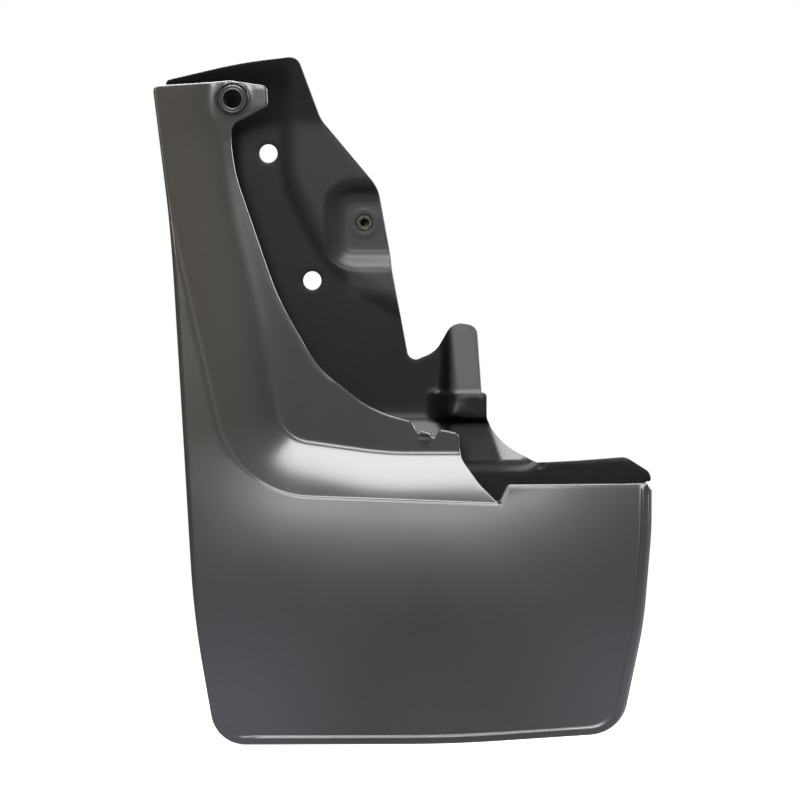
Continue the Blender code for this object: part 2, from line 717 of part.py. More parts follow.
def main():
    for obj in list(bpy.data.objects):
        bpy.data.objects.remove(obj)
    gloss = material("fascia_gloss", (0.055, 0.055, 0.055), 0.3)
    black = material("plate_black", (0.012, 0.012, 0.013), 0.55)
    rubber = material("seal_rubber", (0.01, 0.01, 0.01), 0.8)
    sleeve = material("bush_plastic", (0.06, 0.06, 0.06), 0.35)
    zinc = material("zinc_steel", (0.6, 0.6, 0.58), 0.35, 1.0)
    yellow_zinc = material("yellow_zinc", (0.5, 0.42, 0.2), 0.4, 1.0)
    spring = material("spring_steel", (0.55, 0.56, 0.58), 0.25, 1.0)
    outer_fascia(gloss)
    mounting_plate(black)
    upper_bush(sleeve)
    pocket_nut(yellow_zinc)
    plate_screws(zinc, zinc)
    lip_seal(rubber)
    lip_clip(spring)


main()
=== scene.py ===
import math

import bmesh
import bpy
import numpy as np
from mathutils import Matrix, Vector
from mathutils.geometry import delaunay_2d_cdt
from mathutils.kdtree import KDTree


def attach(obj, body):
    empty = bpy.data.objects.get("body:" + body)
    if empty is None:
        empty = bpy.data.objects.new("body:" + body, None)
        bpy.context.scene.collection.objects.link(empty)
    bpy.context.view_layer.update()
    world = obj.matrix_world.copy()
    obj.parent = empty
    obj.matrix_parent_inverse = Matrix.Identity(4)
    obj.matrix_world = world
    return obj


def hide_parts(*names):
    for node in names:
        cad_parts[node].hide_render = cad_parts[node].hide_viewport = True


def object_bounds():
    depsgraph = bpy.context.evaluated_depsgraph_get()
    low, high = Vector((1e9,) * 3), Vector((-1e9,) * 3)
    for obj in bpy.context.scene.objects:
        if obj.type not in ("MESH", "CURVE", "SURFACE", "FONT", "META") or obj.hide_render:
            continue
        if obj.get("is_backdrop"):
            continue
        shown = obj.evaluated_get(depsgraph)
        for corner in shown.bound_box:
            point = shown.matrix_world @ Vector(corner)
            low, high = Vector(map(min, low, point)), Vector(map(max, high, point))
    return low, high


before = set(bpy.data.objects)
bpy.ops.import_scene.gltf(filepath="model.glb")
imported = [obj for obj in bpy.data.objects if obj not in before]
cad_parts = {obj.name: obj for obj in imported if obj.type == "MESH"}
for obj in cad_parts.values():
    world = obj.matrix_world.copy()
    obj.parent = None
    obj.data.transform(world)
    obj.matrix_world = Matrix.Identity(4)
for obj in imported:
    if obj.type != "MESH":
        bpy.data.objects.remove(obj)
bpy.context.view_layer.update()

# Lengths are in millimetres in the row frame: +X inboard, +Y towards the wheel, +Z up. Those of
# the materials, the lamps and the camera are in metres.
MM = 0.001

# Depths along Y.
CREST_Y = -48.0
SHOULDER_Y = -28.0
SEAT_Y = -32.0
LOWER_PLATE_Y = -30.0

FASCIA_WALL = 2.4
PLATE_WALL = 3.0
EDGE_ROUND = 1.1
RIM_ROUND = 3.0
CREASE_STEP = 0.8
COLLAR = (1.2, 9.5, 0.95)  # height, radius and half width of the ring round the bush
CREASE_FADE = (-130.0, -162.0)  # the crease is soft above the first height, crisp below the second
CROWN = 5.0
CROWN_HEIGHT = 145.0
CROWN_LEAD = 4.0  # the bulge starts this far above the crease
PANEL_TURN = (80.0, 6.0)  # inboard of this x the panel falls away, by this much at its edge
LIP_LEAN = 0.08
SHOULDER_ROUND = 1.0
SHOULDER_SOFT = 7.0  # the same up the wing
SHOULDER_FADE = (-125.0, -60.0)
RAMP_SWELL = 0.35
FIT_GAP = 0.8
TOUCH_GAP = 0.3

LINER_HOLES = ((-13.0, 37.5), (13.0, -37.5))
LINER_HOLE_R = 5.5
BUSH_AT = (-30.6, 68.7)
BUSH_SEAT_R = 9.6
BUSH_BARREL_R = 6.9
BUSH_BORE_R = 5.4
POCKET_NUT_AT = (43.4, -3.5)
POCKET_HOLE_R = 5.0
SCREWS_AT = (
    (-62.0, 34.0),
    (-40.0, -182.0),
    (-20.0, -286.0),
    (84.0, -288.0),
    (184.0, -280.0),
    (192.0, -184.0),
)
SCREW_HOLE_R = 2.6
POST_R = 4.6
POST_SIDES = 40
PILOT_R = 2.3
PILOT_DEPTH = 16.0
INSERT_BORE_R = 2.1
INSERT_MOUTH_R = 2.7
WASHER = (2.4, 7.0, 1.5)  # its hole's radius, its radius, and its far face behind the plate
HEAD_R = 4.6
SHANK_R = 2.0
SHANK_REACH = 11.0  # how far the threaded shank runs in front of the plate's back

# Outlines seen from the front, as corners (x, z, radius). They are the CAD model's own, but for
# two corners moved in by 0.08 mm to stay inside its box.
WALLED_EDGE = (
    (-76.0, 72.0, 0.0),
    (-65.6, -9.0, 800.0),
    (-51.4, -235.0, 600.0),
    (-38.9, -310.0, 20.0),
    (100.0, -309.2, 900.0),
    (197.8, -302.6, 22.0),
    (211.0, -239.0, 250.0),
    (215.7, -184.0, 250.0),
    (215.7, -160.6, 0.0),
)
FREE_EDGE = (
    (215.7, -156.6, 3.2),
    (132.2, -157.6, 3.2),
    (127.0, -168.2, 1.8),
    (115.5, -156.9, 40.0),
    (103.2, -141.0, 18.0),
    (102.4, -127.4, 3.2),
    (91.5, -125.0, 3.0),
    (88.2, -129.8, 1.4),
    (77.6, -126.2, 1.4),
    (74.5, -120.4, 3.0),
    (50.6, -113.6, 67.0),
    (18.9, -88.2, 62.0),
    (-4.6, -46.9, 160.0),
    (-31.6, 31.4, 104.0),
    (-31.6, 53.4, 7.0),
    (-9.6, 64.6, 3.2),
    (-10.4, 76.4, 3.2),
    (-23.5, 78.4, 12.0),
    (-32.0, 79.6, 12.0),
    (-76.42, 76.2, 3.2),
)
PLATE_EDGE = (
    (212.2, -157.2, 0.0),
    (212.3, -155.7, 0.6),
    (215.2, -155.5, 1.1),
    (215.2, -150.6, 6.0),
    (200.4, -141.2, 9.0),
    (170.0, -143.5, 120.0),
    (144.5, -144.8, 14.0),
    (126.5, -135.2, 40.0),
    (117.4, -121.6, 16.0),
    (117.4, -104.0, 2.2),
    (114.2, -103.6, 1.2),
    (110.4, -64.4, 6.5),
    (96.4, -61.8, 9.0),
    (86.2, -79.4, 16.0),
    (70.4, -85.9, 5.0),
    (60.2, -31.0, 90.0),
    (51.2, 18.2, 18.0),
    (18.2, 57.5, 20.0),
    (5.0, 94.72, 7.0),
    (-28.0, 91.1, 300.0),
    (-73.3, 80.8, 3.2),
    (-73.3, 77.0, 0.0),
)
LIP = FREE_EDGE[9:15]  # the stretch of the free edge along the arch
SHELF_END = PLATE_EDGE[6][0]
FINGER_SIDE = PLATE_EDGE[9][0]
CREASE = ((-87.8, 95.0, 0.0), (-27.7, -163.2, 57.0), (127.5, -168.9, 0.0), (131.5, -130.0, 0.0))
CROWN_LINE = (
    (-87.8, 95.0, 0.0),
    (-27.7, -163.2, 57.0),
    (112.0, -168.6, 110.0),
    (165.0, -154.0, 120.0),
    (245.0, -152.0, 0.0),
)
SHOULDER = (
    (-41.0, 100.0, 0.0),
    (-37.0, 15.0, 200.0),
    (-2.0, -131.0, 22.0),
    (60.0, -140.0, 220.0),
    (140.0, -139.6, 0.0),
)
FLANGE_LINE = (
    (-2.0, 110.0, 0.0),
    (-1.0, 22.0, 60.0),
    (24.0, -29.0, 90.0),
    (75.0, -60.0, 0.0),
    (150.0, -50.0, 0.0),
)
FLANK_LINE = ((109.0, -104.0, 0.0), (117.0, -122.0, 30.0), (126.5, -149.0, 0.0))

FLANGE_STEP = 1.4
FLANGE_BLEND = 6.0
POCKET_FLOOR_Y = 6.0
POCKET = (32.0, -20.0, 90.0, 9.9)
POCKET_SLOPE = 12.0
POCKET_CORNER = 5.0
TOP_FOLD = (57.0, 0.22)
LEDGE = (-119.0, -104.2)
LEDGE_FADE = (80.0, 108.0)
LEDGE_Y = -14.0
RAMP_Z = (-119.0, -157.0)
NOTCH = (86.0, 98.0)
CHANNEL_Y = -8.0
FLANK_SLOPE = 1.3
FLANK_RISE = 18.0
SHELF_Z = -145.5
SHELF_DROP = 4.0
SHELF_TURN = (142.0, 0.6)
FINGER_Z = (-64.0, -104.0)
FINGER_LEFT = (91.5, 88.5)
FINGER_FLANK = (2.5, 11.0)
FINGER_RISE = 12.0

# Visible finish.
RIM_BEAD = 1.0  # height of the bead just inside the panel's bottom and inboard edges
RIM_BEAD_AT = 3.7  # its distance from the edge
RIM_BEAD_WIDTH = 1.7
WHEEL_SIDE_BLOOM = 0.7  # how grey the plate has gone on the wheel side
THREAD_DEPTH = 0.28  # in the insert's bore
KNURL_DEPTH = 0.22  # round the insert's body
SCREW_THREAD = (0.32, 1.6)  # depth and pitch
CHARCOAL = ((0.024, 0.024, 0.024), (0.032, 0.0315, 0.031))
# colour of the painted warm reflection up the wing
PAINTED_WARM_REFLECTION = (0.0300, 0.0276, 0.0228)
# colour of the painted bluish reflection in the panel's bottom corners
PAINTED_COOL_REFLECTION = (0.050, 0.053, 0.060)
BLACK = ((0.002, 0.002, 0.0022), (0.0035, 0.0035, 0.0035))
# grey for the wheel side's bloom and for the painted sheen that stands in for light on the plate
BLOOM_AND_PAINTED_SHEEN_GREY = (0.026, 0.026, 0.0265)
FINE_GRAIN = (2600.0, 0.000006)  # the grain's noise scale and its bump's depth
COARSE_GRAIN = (1500.0, 0.00002)
ALONG_Y = (1.0, 0.1, 1.0)  # stretch of brushing marks that run roughly along Y
ALONG_X = (0.05, 0.3, 0.3)


# --- Plane geometry -----------------------------------------------------------------


def rounded(corners, step, turn=7.0):
    """Points along a path with a rounded corner at each (x, z, radius)."""
    points = []
    for i, (x, z, radius) in enumerate(corners):
        here = np.array((x, z))
        if i in (0, len(corners) - 1):
            points.append(here)
            continue
        before = np.array(corners[i - 1][:2]) - here
        after = np.array(corners[i + 1][:2]) - here
        before /= np.linalg.norm(before)
        after /= np.linalg.norm(after)
        opening = math.acos(np.clip(before @ after, -1.0, 1.0))
        turned = math.pi - opening
        if radius == 0.0 or turned < 1e-4:
            points.append(here)
            continue
        centre = here + (before + after) / np.linalg.norm(before + after) * radius / math.sin(opening / 2)
        start = here + before * radius / math.tan(opening / 2) - centre
        side = math.copysign(1.0, before[1] * after[0] - before[0] * after[1])
        pieces = max(2, math.ceil(radius * turned / step), math.ceil(math.degrees(turned) / turn))
        for k in range(pieces + 1):
            angle = side * turned * k / pieces
            c, s = math.cos(angle), math.sin(angle)
            points.append(centre + np.array((c * start[0] - s * start[1], s * start[0] + c * start[1])))
    points = np.array(points)
    found = []
    for start, end in zip(points, points[1:]):
        pieces = max(1, math.ceil(np.linalg.norm(end - start) / step - 1e-6))
        found += [start + (end - start) * k / pieces for k in range(pieces)]
    return np.array([*found, points[-1]])


def mitres(points, closed=True):
    """The vector at each point of a path that moves it one unit to its left."""
    forward = np.roll(points, -1, axis=0) - points
    if not closed:
        forward[-1] = forward[-2]
    forward /= np.linalg.norm(forward, axis=1)[:, None]
    backward = np.roll(forward, 1, axis=0)
    if not closed:
        backward[0] = forward[0]
    left = np.column_stack((-forward[:, 1], forward[:, 0]))
    left_before = np.column_stack((-backward[:, 1], backward[:, 0]))
    middle = left + left_before
    middle /= np.linalg.norm(middle, axis=1)[:, None]
    return middle / np.maximum((middle * left).sum(axis=1), 0.6)[:, None]


def from_line(points, line):
    """Distance of each point from a path, positive on its right."""
    start, along = line[:-1], np.diff(line, axis=0)
    length = (along**2).sum(axis=1)
    found = np.empty(len(points))
    for k in range(0, len(points), 4000):
        offset = points[k : k + 4000, None, :] - start
        share = np.clip((offset * along).sum(axis=2) / length, 0.0, 1.0)
        distance = np.linalg.norm(offset - share[..., None] * along, axis=2)
        near = distance.argmin(axis=1)
        row = np.arange(len(near))
        across = along[near, 0] * offset[row, near, 1] - along[near, 1] * offset[row, near, 0]
        found[k : k + 4000] = np.where(across > 0, -1.0, 1.0) * distance[row, near]
    return found


def inside(points, loop):
    """Which of the points lie inside a closed loop."""
    x0, z0 = loop[:, 0], loop[:, 1]
    x1, z1 = np.roll(x0, -1), np.roll(z0, -1)
    rise = np.where(z1 == z0, 1.0, z1 - z0)
    found = np.empty(len(points), dtype=bool)
    for k in range(0, len(points), 4000):
        x, z = points[k : k + 4000, :1], points[k : k + 4000, 1:]
        crosses = ((z0 > z) != (z1 > z)) & (x < x0 + (z - z0) / rise * (x1 - x0))
        found[k : k + 4000] = crosses.sum(axis=1) % 2 == 1
    return found


def circle(centre, radius, count):
    angles = np.arange(count) * 2 * math.pi / count
    return np.array(centre) + radius * np.column_stack((np.cos(angles), np.sin(angles)))


def eased(low, high, value):
    """0 below low and 1 above high, with a smooth change between them."""
    share = np.clip((value - low) / (high - low), 0.0, 1.0)
    return share * share * (3.0 - 2.0 * share)


def positive(value, softness):
    """The value where it is positive and 0 elsewhere, with a soft corner."""
    return (value + np.sqrt(value**2 + softness**2)) / 2.0


def bump(value, centre, half):
    """1 at the centre, falling smoothly to 0 at half to each side."""
    return 1.0 - eased(0.0, half, np.abs(value - centre))


class Field:
    """A surface y(x, z) sampled on a grid, softened, and read back smoothly."""

    def __init__(self, surface, low, high, pitch, softness):
        self.low, self.pitch = np.array(low), pitch
        xs, zs = np.arange(low[0], high[0], pitch), np.arange(low[1], high[1], pitch)
        gx, gz = np.meshgrid(xs, zs, indexing="ij")
        values = surface(np.column_stack((gx.ravel(), gz.ravel()))).reshape(gx.shape)
        reach = math.ceil(3.0 * softness / pitch)
        weights = np.exp(-0.5 * (np.arange(-reach, reach + 1) * pitch / softness) ** 2)
        weights /= weights.sum()
        for axis in (0, 1):
            pad = [(reach, reach) if a == axis else (0, 0) for a in (0, 1)]
            padded = np.pad(values, pad, mode="edge")
            values = sum(
                w * np.take(padded, np.arange(k, k + values.shape[axis]), axis=axis)
                for k, w in enumerate(weights)
            )
        self.values = values

    def __call__(self, points):
        cell = (points - self.low) / self.pitch
        base = np.clip(np.floor(cell).astype(int), 1, np.array(self.values.shape) - 3)
        t = np.clip(cell - base, 0.0, 1.0)
        weights = np.stack(
            (
                -0.5 * t + t**2 - 0.5 * t**3,
                1.0 - 2.5 * t**2 + 1.5 * t**3,
                0.5 * t + 2.0 * t**2 - 1.5 * t**3,
                -0.5 * t**2 + 0.5 * t**3,
            )
        )
        return sum(
            weights[i, :, 0] * weights[j, :, 1] * self.values[base[:, 0] + i - 1, base[:, 1] + j - 1]
            for i in range(4)
            for j in range(4)
        )


# --- The two moulded surfaces ---------------------------------------------------------

FINE_STEP = 1.5
CREASE_PATH = rounded(CREASE, FINE_STEP, 2.0)
CROWN_PATH = rounded(CROWN_LINE, FINE_STEP, 2.0)
SHOULDER_PATH = rounded(SHOULDER, FINE_STEP, 2.0)
FLANGE_PATH = rounded(FLANGE_LINE, FINE_STEP, 2.0)
FLANK_PATH = rounded(FLANK_LINE, FINE_STEP, 2.0)
WALLED_PATH = rounded(WALLED_EDGE, 2.4)


def flare_shape(points):
    """The flare's depth, carried smoothly a little way past the crease."""
    past_crease = from_line(points, CREASE_PATH)
    from_shoulder = from_line(points, SHOULDER_PATH)
    softness = SHOULDER_ROUND + (SHOULDER_SOFT - SHOULDER_ROUND) * eased(*SHOULDER_FADE, points[:, 1])
    past_shoulder = positive(from_shoulder, softness)
    width = np.maximum(past_shoulder - past_crease, 0.35 * past_shoulder + 1e-6)
    share = np.minimum(past_shoulder / width, 1.25)
    rise = share + RAMP_SWELL * share * (1.0 - share)
    ramp = SHOULDER_Y + (CREST_Y + CREASE_STEP - SHOULDER_Y) * rise
    return ramp - LIP_LEAN * positive(-from_shoulder, softness)


def panel_shape(points):
    """The crowned lower panel's depth."""
    down = np.clip(positive(from_line(points, CROWN_PATH) + CROWN_LEAD, 3.0) / CROWN_HEIGHT, 0.0, 1.0)
    beyond = positive(points[:, 0] - PANEL_TURN[0], 20.0) / (WALLED_EDGE[-1][0] - PANEL_TURN[0])
    return CREST_Y - CROWN * 4.0 * down * (1.0 - down) + PANEL_TURN[1] * beyond**2


GRID_LOW, GRID_HIGH = (-96.0, -330.0), (236.0, 108.0)
FLARE = Field(flare_shape, GRID_LOW, GRID_HIGH, 1.0, 1.0)
PANEL = Field(panel_shape, GRID_LOW, GRID_HIGH, 2.0, 3.0)


def fascia_face(points):
    """Depth of the fascia's outer face at each (x, z)."""
    flare, panel = FLARE(points), PANEL(points)
    past_crease = from_line(points, CREASE_PATH)
    crisp = eased(*CREASE_FADE, points[:, 1])
    half = 2.0 - 1.5 * crisp
    y = flare + (panel - flare) * eased(-half, half, past_crease)
    from_bush = np.linalg.norm(points - np.array(BUSH_AT), axis=1)
    y += (SEAT_Y - y) * (1.0 - eased(BUSH_SEAT_R - 1.0, BUSH_SEAT_R + 15.0, from_bush))
    in_ear = eased(BUSH_AT[0] + 8.0, BUSH_AT[0] + 14.0, points[:, 0]) * eased(47.0, 55.0, points[:, 1])
    y += (SEAT_Y - y) * in_ear
    y -= COLLAR[0] * bump(from_bush, COLLAR[1], COLLAR[2])
    edge = -from_line(points, WALLED_PATH)
    along_bottom = eased(-30.0, -10.0, points[:, 0]) * eased(-150.0, -170.0, points[:, 1])
    return y - RIM_BEAD * along_bottom * bump(edge, RIM_BEAD_AT, RIM_BEAD_WIDTH)


def fascia_back(points):
    return fascia_face(points) + FASCIA_WALL


def box_share(points, box, corner, slope):
    """1 inside a rounded box in the X-Z plane, falling to 0 over the slope's width."""
    low, high = np.array(box[:2]), np.array(box[2:])
    middle, half = (low + high) / 2, (high - low) / 2 - corner
    out = np.maximum(np.abs(points - middle) - half, 0.0)
    return 1.0 - eased(0.0, slope, np.linalg.norm(out, axis=1) - corner)


def plate_level(z):
    """Depth of the plate's front face by height alone."""
    down = RAMP_Z[0] - z
    length = RAMP_Z[0] - RAMP_Z[1]
    return LOWER_PLATE_Y * (positive(down, 2.0) - positive(down - length, 2.0)) / length


def shelf_edge(x):
    """Height of the front edge of the shelf over the panel, which turns up at its inboard end."""
    return SHELF_Z + SHELF_TURN[1] * positive(x - SHELF_TURN[0], 2.0)


def plate_shape(points):
    """Depth of the plate's front face, before its corners are softened."""
    x, z = points[:, 0], points[:, 1]
    y = plate_level(z)
    flank = positive(-from_line(points, FLANK_PATH), 1.0)
    channel = CHANNEL_Y + np.minimum(FLANK_SLOPE * flank, FLANK_RISE)
    channel = channel * (1.0 - eased(LEDGE[0] + 1.0, LEDGE[1] - 2.0, z))
    edge = shelf_edge(x)
    channel = channel + (LOWER_PLATE_Y - channel) * (1.0 - eased(edge - SHELF_DROP, edge, z))
    y = y + (channel - y) * eased(*NOTCH, x)
    above_ramp = eased(-100.0, -84.0, z)
    y = y - FLANGE_STEP * eased(-FLANGE_BLEND, FLANGE_BLEND, -from_line(points, FLANGE_PATH)) * above_ramp
    pocket = box_share(points, POCKET, POCKET_CORNER, POCKET_SLOPE)
    y = y + (POCKET_FLOOR_Y - y) * pocket
    y = y - TOP_FOLD[1] * positive(z - TOP_FOLD[0], 3.0)
    down = np.clip((FINGER_Z[0] - z) / (FINGER_Z[0] - FINGER_Z[1]), 0.0, 1.0)
    left = FINGER_LEFT[0] + (FINGER_LEFT[1] - FINGER_LEFT[0]) * down
    across = (x - left) / (FINGER_FLANK[0] + (FINGER_FLANK[1] - FINGER_FLANK[0]) * down)
    y = y - FINGER_RISE * down * eased(0.0, 1.0, across) * (z > LEDGE[0])
    on_ledge = eased(LEDGE[0] - 2.0, LEDGE[0], z) * (1.0 - eased(LEDGE[1], LEDGE[1] + 1.5, z))
    return y + (LEDGE_Y - y) * on_ledge * eased(*LEDGE_FADE, x)


PLATE = Field(plate_shape, GRID_LOW, GRID_HIGH, 1.0, 0.9)


def plate_face(points):
    """Depth of the plate's front face at each (x, z)."""
    y = PLATE(points)
    from_nut = np.linalg.norm(points - np.array(POCKET_NUT_AT), axis=1)
    return y - 0.15 * (1.0 - eased(8.0, 9.4, from_nut))


def plate_back(points):
    return plate_face(points) + PLATE_WALL


def plate_painted_sheen(points):
    """Painted sheen: how far the plate is greyed to stand in for light on it, most where it stands off the
    arch and in the pocket.
    """
    z = points[:, 1]
    off_arch = eased(-5.0, 4.0, -from_line(points, FLANGE_PATH)) * eased(-66.0, -44.0, z)
    off_arch *= 1.0 - 0.55 * eased(52.0, 62.0, z)
    in_pocket = box_share(points, POCKET, POCKET_CORNER, POCKET_SLOPE / 2)
    inboard = eased(94.0, 98.0, points[:, 0])
    on_finger = inboard * eased(LEDGE[1], LEDGE[1] + 1.5, z)
    in_channel = inboard * eased(LEDGE[0] - 2.0, LEDGE[0] - 6.0, z) * eased(SHELF_Z, SHELF_Z + 4.0, z)
    below_pocket = bump(z, POCKET[1] - 16.0, 14.0) * eased(30.0, 40.0, points[:, 0])
    shares = (0.4 * off_arch, 1.0 * in_pocket, on_finger, 0.8 * in_channel, 1.0 * below_pocket)
    return np.clip(sum(shares), 0.0, 1.0)


def plate_matt(points):
    """How matt the plate is: only the shelf's step is."""
    step = shelf_edge(points[:, 0]) - SHELF_DROP / 2
    off_step = np.abs(points[:, 1] - step) - SHELF_DROP / 2
    return (1.0 - eased(1.0, 3.0, off_step)) * eased(*NOTCH, points[:, 0])


# --- Solids -----------------------------------------------------------------------------


def finished(name, vertices, faces, sharp=40.0):
    """A mesh object in metres with its faces pointing out and smooth shading."""
    mesh = bpy.data.meshes.new(name)
    mesh.from_pydata((np.array(vertices) * MM).tolist(), [], faces)
    bm = bmesh.new()
    bm.from_mesh(mesh)
    bmesh.ops.recalc_face_normals(bm, faces=bm.faces[:])
    if bm.calc_volume(signed=True) < 0:
        bmesh.ops.reverse_faces(bm, faces=bm.faces[:])
    bm.to_mesh(mesh)
    bm.free()
    mesh.shade_smooth()
    mesh.set_sharp_from_angle(angle=math.radians(sharp))
    obj = bpy.data.objects.new(name, mesh)
    bpy.context.scene.collection.objects.link(obj)
    return obj


def triangles(loops, inner):
    """Triangles in the first loop and outside the others, through the inner points."""
    points = np.vstack([*loops, inner])
    edges, start = [], 0
    for loop in loops:
        edges += [(start + i, start + (i + 1) % len(loop)) for i in range(len(loop))]
        start += len(loop)
    made, _, faces, sources, _, _ = delaunay_2d_cdt([Vector(p) for p in points], edges, [], 1, 1e-6)
    source = [s[0] for s in sources]
    faces = np.array([[source[v] for v in f] for f in faces])
    assert len(made) == len(points), "two loops or points meet"
    in_hole = np.zeros(len(faces), dtype=bool)
    for loop in loops[1:]:
        in_hole |= inside(points[faces].mean(axis=1), loop)
    return faces[~in_hole]


def clear_of(points, others, distance):
    """The points that are at least distance from all the others."""
    if not len(others) or not len(points):
        return points
    tree = KDTree(len(others))
    for k, (x, z) in enumerate(others):
        tree.insert((x, z, 0.0), k)
    tree.balance()
    return points[[tree.find((x, z, 0.0))[2] >= distance for x, z in points]]


def scattered(loops, features, spacing):
    """Points for the inside of a surface: its features first, then an even lattice."""
    outline, holes = loops[0], loops[1:]
    taken = np.vstack(loops)
    count = len(taken)
    low, high = outline.min(axis=0), outline.max(axis=0)
    xs, zs = np.arange(low[0], high[0], spacing), np.arange(low[1], high[1], spacing * 0.87)
    lattice = np.array([(x + spacing / 2 * (k % 2), z) for k, z in enumerate(zs) for x in xs])
    for points, clearance in (*features, (lattice, spacing * 0.62)):
        points = points[inside(points, outline)]
        for hole in holes:
            points = points[~inside(points, hole)]
        taken = np.vstack((taken, clear_of(points, taken, clearance)))
    return taken[count:]


def offsets(path, distances, clearance):
    """Copies of a path at the given distances to its left, as features."""
    side = mitres(path, closed=False)
    return tuple((path + side * d, clearance) for d in distances)


def rim(outline, face, thickness, radius, wall_end=None, walled=None):
    """Loops of (x, z, y) from the front face, round the edge, to the back face. Where
    walled is 1 the edge runs on as a side wall to the depth wall_end."""
    side = mitres(outline)
    radius = np.broadcast_to(radius, len(outline)).astype(float)
    near, further = (face(outline + side * r[:, None]) for r in (radius, radius + 0.6))
    tilt = np.arctan((near - further) / 0.6)
    tilt = np.clip(tilt, -0.8, 0.8)
    for _ in range(6):
        tilt = (np.roll(tilt, 1) + 2 * tilt + np.roll(tilt, -1)) / 4

    def depth(inset):
        return face(outline + side * inset[:, None])

    front = depth(radius * (1 - np.sin(tilt))) + radius * np.cos(tilt)
    free_r = np.minimum(radius, EDGE_ROUND)
    back_inset = free_r * (1 + np.sin(tilt))
    back = depth(back_inset) + thickness - free_r * np.cos(tilt)
    plain, wall = [], []
    for t in np.linspace(0.0, 1.0, 6):
        angle = tilt + (math.pi / 2 - tilt) * t
        both = (radius * (1 - np.sin(angle)), front - radius * np.cos(angle))
        plain.append(both)
        wall.append(both)
    for t in np.linspace(0.0, 1.0, 6):
        angle = math.pi / 2 - (math.pi / 2 + tilt) * t
        plain.append((free_r * (1 - np.sin(angle)), np.maximum(back, front + 0.02) + free_r * np.cos(angle)))
    for t in np.linspace(0.1, 1.0, 7):
        inset = back_inset + 0.3 * t
        plain.append((inset, depth(inset) + thickness))
    if walled is not None:
        level = np.zeros(len(outline))
        end, root_r = 0.5, 1.5
        for t in (0.34, 0.67, 1.0):
            wall.append((level, front + (wall_end - end - front) * t))
        for angle in (45.0, 90.0):
            c, s = math.cos(math.radians(angle)), math.sin(math.radians(angle))
            wall.append((end * (1 - c) + level, wall_end - end * (1 - s)))
        for angle in (90.0, 45.0, 0.0):
            c, s = math.cos(math.radians(angle)), math.sin(math.radians(angle))
            wall.append((thickness - end * (1 - c) + level, wall_end - end * (1 - s)))
        root = depth(level + thickness + root_r) + thickness
        wall.append((thickness + level, root + root_r + (wall_end - root) * 0.4))
        for angle in (0.0, 30.0, 60.0, 90.0):
            c, s = math.cos(math.radians(angle)), math.sin(math.radians(angle))
            inset = thickness + root_r * (1 - c) + level
            wall.append((inset, root + root_r * (1 - s) if angle < 90.0 else depth(inset) + thickness))
    loops = []
    for k, (inset, y) in enumerate(plain):
        if walled is not None:
            inset = inset + (wall[k][0] - inset) * walled
            y = y + (wall[k][1] - y) * walled
        loops.append(np.column_stack((outline + side * inset[:, None], y)))
    return loops


def moulding(name, rims, face, back, features, spacing, bosses=()):
    """A closed moulding from its rims, its two faces and the bosses on its back."""
    vertices, faces, rows = [], [], []

    def walled(loops):
        made = []
        for loop in loops:
            made.append(list(range(len(vertices), len(vertices) + len(loop))))
            vertices.extend((x, y, z) for x, z, y in loop)
        for a, b in zip(made, made[1:]):
            for i in range(len(a)):
                j = (i + 1) % len(a)
                faces.append((a[i], b[i], b[j], a[j]))
        return made

    def covered(loops, indices, surface):
        flat = [loop[:, :2] for loop in loops]
        inner = scattered(flat, features, spacing)
        index = [v for row in indices for v in row]
        index += range(len(vertices), len(vertices) + len(inner))
        vertices.extend((x, y, z) for (x, z), y in zip(inner, surface(inner)))
        faces.extend(tuple(index[v] for v in t) for t in triangles(flat, inner))

    for loops in rims:
        rows.append(walled(loops))
    covered([loops[0] for loops in rims], [made[0] for made in rows], face)
    raised = [walled(loops) for loops in bosses]
    faces.extend(tuple(made[-1]) for made in raised)
    loops = [r[-1] for r in rims] + [b[0] for b in bosses]
    covered(loops, [made[-1] for made in rows] + [made[0] for made in raised], back)
    return finished(name, vertices, faces, 75.0)


def spun(name, profile, at, sides=72):
    """A solid of revolution about Y: profile is (radius, y) round a closed section."""
    vertices, faces = [], []
    for k in range(sides):
        c, s = math.cos(2 * math.pi * k / sides), math.sin(2 * math.pi * k / sides)
        vertices += [(at[0] + r * c, y, at[1] + r * s) for r, y in profile]
    count = len(profile)
    for k in range(sides):
        for i in range(count):
            a, b, j = k * count, (k + 1) % sides * count, (i + 1) % count
            faces.append((a + i, a + j, b + j, b + i))
    return finished(name, vertices, faces)


def capped(name, rows):
    """A solid from a closed round of rows, with a flat cap at each end of the rows."""
    sides, count = len(rows), len(rows[0])
    faces = []
    for k in range(sides):
        a, b = k * count, (k + 1) % sides * count
        faces += [(a + i, a + i + 1, b + i + 1, b + i) for i in range(count - 1)]
    faces.append(tuple(k * count for k in range(sides)))
    faces.append(tuple(k * count + count - 1 for k in range(sides)))
    return finished(name, [v for row in rows for v in row], faces)


def swept(name, path, across, section):
    """A bar along a path of (x, y, z): section is (sideways, along Y) points."""
    vertices, faces = [], []
    count = len(section)
    for (x, y, z), (ax, az) in zip(path, across):
        vertices += [(x + u * ax, y + v, z + u * az) for u, v in section]
    for k in range(len(path) - 1):
        for i in range(count):
            a, b, j = k * count, (k + 1) * count, (i + 1) % count
            faces.append((a + i, a + j, b + j, b + i))
    faces.append(tuple(range(count)))
    faces.append(tuple(range((len(path) - 1) * count, len(path) * count)))
    return finished(name, vertices, faces)


def soft_section(corners, radius, steps=4):
    """A closed section (u, v) with its corners rounded."""
    count, found = len(corners), []
    for i in range(count):
        here = np.array(corners[i])
        before = np.array(corners[i - 1]) - here
        after = np.array(corners[(i + 1) % count]) - here
        reach = min(radius, 0.45 * np.linalg.norm(before), 0.45 * np.linalg.norm(after))
        start = here + before / np.linalg.norm(before) * reach
        end = here + after / np.linalg.norm(after) * reach
        for k in range(steps + 1):
            t = k / steps
            found.append(tuple((1 - t) ** 2 * start + 2 * t * (1 - t) * here + t * t * end))
    return found


# --- Materials ----------------------------------------------------------------------------


